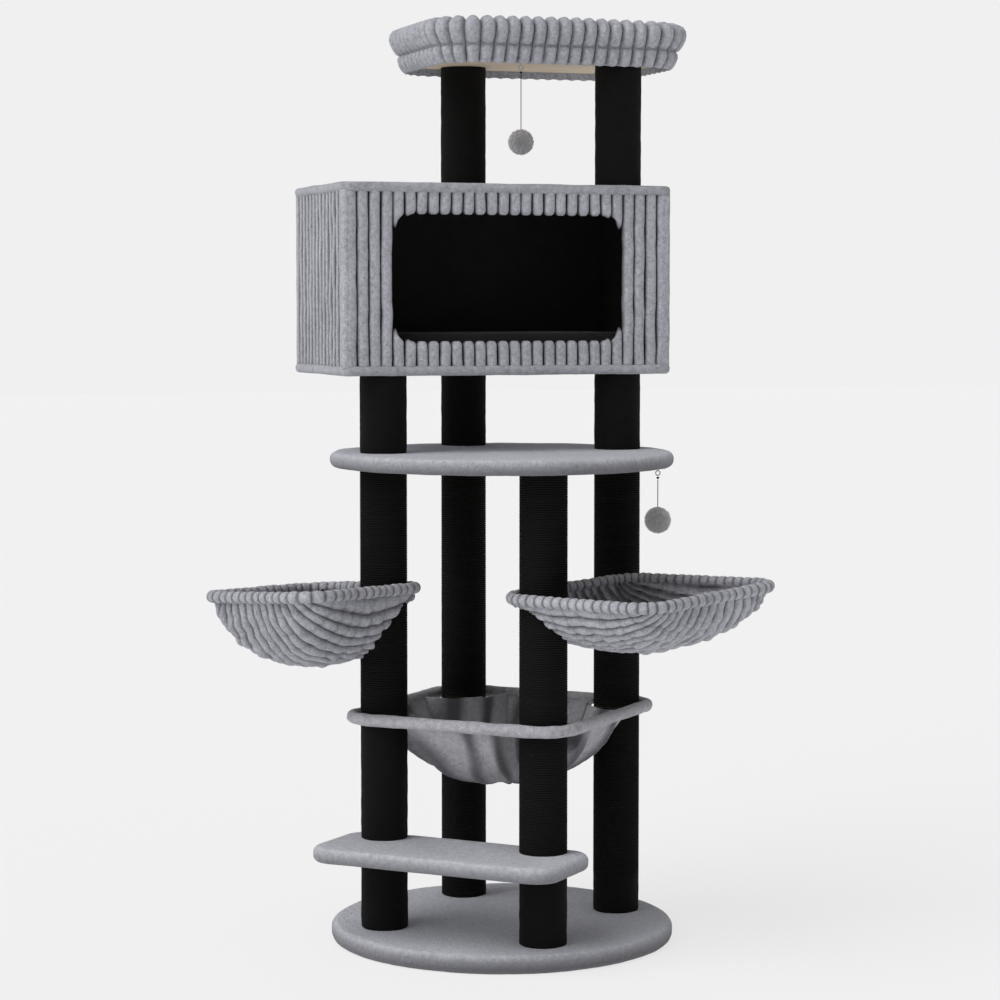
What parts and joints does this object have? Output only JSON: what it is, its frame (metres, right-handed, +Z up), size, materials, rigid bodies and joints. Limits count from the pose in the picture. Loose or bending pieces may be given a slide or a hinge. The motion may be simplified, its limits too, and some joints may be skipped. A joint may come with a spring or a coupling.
{
  "type": "cat tree",
  "caption": "Tall cat tree: round base, posts wrapped in plush and sisal, step, hammocks, platform, ribbed house with an open front, quilted perch and hanging pompoms.",
  "frame": {"origin": "on the floor, at the centre of the round base's underside", "axes": "+Z up; +X towards the right post, the one that carries the perch; -Y is the front, where the house opens"},
  "size_m": [0.9043, 0.7808, 1.605],
  "materials": {
    "grey_plush": "short plush pile, soft sheen",
    "ribbed_grey_plush": "short plush quilted in rounded ribs",
    "pale_grey_plush": "plush pad, soft sheen",
    "board": "medium density fibreboard, sanded",
    "raw_wood": "unfinished board",
    "black_lining": "thin black felt on board",
    "cardboard": "spiral wound card",
    "moulded_plastic": "moulded, matt",
    "zinc_steel": "zinc plated",
    "black_plush": "black short plush wrapped round the tube",
    "black_sisal": "black rope wound in tight turns",
    "black_cord": "thin twisted cord",
    "pompom_plush": "cut pile pompom"
  },
  "bodies": {
    "root": {"back_post_perch_plush": "black_plush", "back_post_sisal": "black_sisal", "back_post_tubes": "cardboard", "back_post_upper_plush": "black_plush", "base_board": "board", "base_cover": "grey_plush", "board_bolts": "zinc_steel", "centre_hammock_clamps": "zinc_steel", "centre_hammock_pouch": "grey_plush", "centre_hammock_rim": "grey_plush", "centre_hammock_wire": "zinc_steel", "front_post_foot_plush": "black_plush", "front_post_sisal": "black_sisal", "front_post_tubes": "cardboard", "house_back_wall": "black_lining", "house_floor": "black_lining", "house_floor_cover": "grey_plush", "house_front_wall": "black_lining", "house_left_wall": "black_lining", "house_mat": "pale_grey_plush", "house_right_wall": "black_lining", "house_roof": "black_lining", "house_roof_cover": "grey_plush", "house_screws": "zinc_steel", "house_wall_cover": "ribbed_grey_plush", "joining_studs": "zinc_steel", "left_post_foot_plush": "black_plush", "left_post_lower_plush": "black_plush", "left_post_sisal": "black_sisal", "left_post_tubes": "cardboard", "left_post_upper_plush": "black_plush", "lower_toy_eye": "zinc_steel", "perch_board": "raw_wood", "perch_bolster": "ribbed_grey_plush", "perch_pad": "pale_grey_plush", "platform_board": "board", "platform_cover": "grey_plush", "post_end_plugs": "moulded_plastic", "right_post_foot_plush": "black_plush", "right_post_perch_plush": "black_plush", "right_post_sisal": "black_sisal", "right_post_tubes": "cardboard", "right_post_upper_plush": "black_plush", "step_board": "board", "step_cover": "grey_plush", "upper_toy_eye": "zinc_steel"},
    "left_hammock": {"left_hammock_wire": "zinc_steel", "left_hammock_rim": "ribbed_grey_plush", "left_hammock_pouch": "ribbed_grey_plush", "left_hammock_clamps": "zinc_steel"},
    "right_hammock": {"right_hammock_wire": "zinc_steel", "right_hammock_rim": "ribbed_grey_plush", "right_hammock_pouch": "ribbed_grey_plush", "right_hammock_clamps": "zinc_steel"},
    "upper_toy_knot": {"upper_toy_knot": "black_cord"},
    "upper_toy": {"upper_toy_cord": "black_cord", "upper_toy_pompom": "pompom_plush"},
    "lower_toy_knot": {"lower_toy_knot": "black_cord"},
    "lower_toy": {"lower_toy_cord": "black_cord", "lower_toy_pompom": "pompom_plush"}
  },
  "joints": [
    {"name": "left_hammock_swivel", "type": "hinge", "parent": "root", "child": "left_hammock", "pos_m": [-0.2157, 0, 0.6225], "axis": [0, 0, 1], "range_deg": [-45, 45]},
    {"name": "right_hammock_swivel", "type": "hinge", "parent": "root", "child": "right_hammock", "pos_m": [0, -0.2157, 0.6225], "axis": [0, 0, 1], "range_deg": [-60, 0]},
    {"name": "upper_toy_sway", "type": "hinge", "parent": "root", "child": "upper_toy_knot", "pos_m": [0.07, 0.1, 1.5226], "axis": [0, 1, 0], "range_deg": [-25, 25]},
    {"name": "upper_toy_swing", "type": "hinge", "parent": "upper_toy_knot", "child": "upper_toy", "pos_m": [0.07, 0.1, 1.5226], "axis": [1, 0, 0], "range_deg": [-25, 25]},
    {"name": "lower_toy_sway", "type": "hinge", "parent": "root", "child": "lower_toy_knot", "pos_m": [0.2248, -0.17, 0.8156], "axis": [0, 1, 0], "range_deg": [-30, 30]},
    {"name": "lower_toy_swing", "type": "hinge", "parent": "lower_toy_knot", "child": "lower_toy", "pos_m": [0.2248, -0.17, 0.8156], "axis": [1, 0, 0], "range_deg": [-30, 30]}
  ]
}
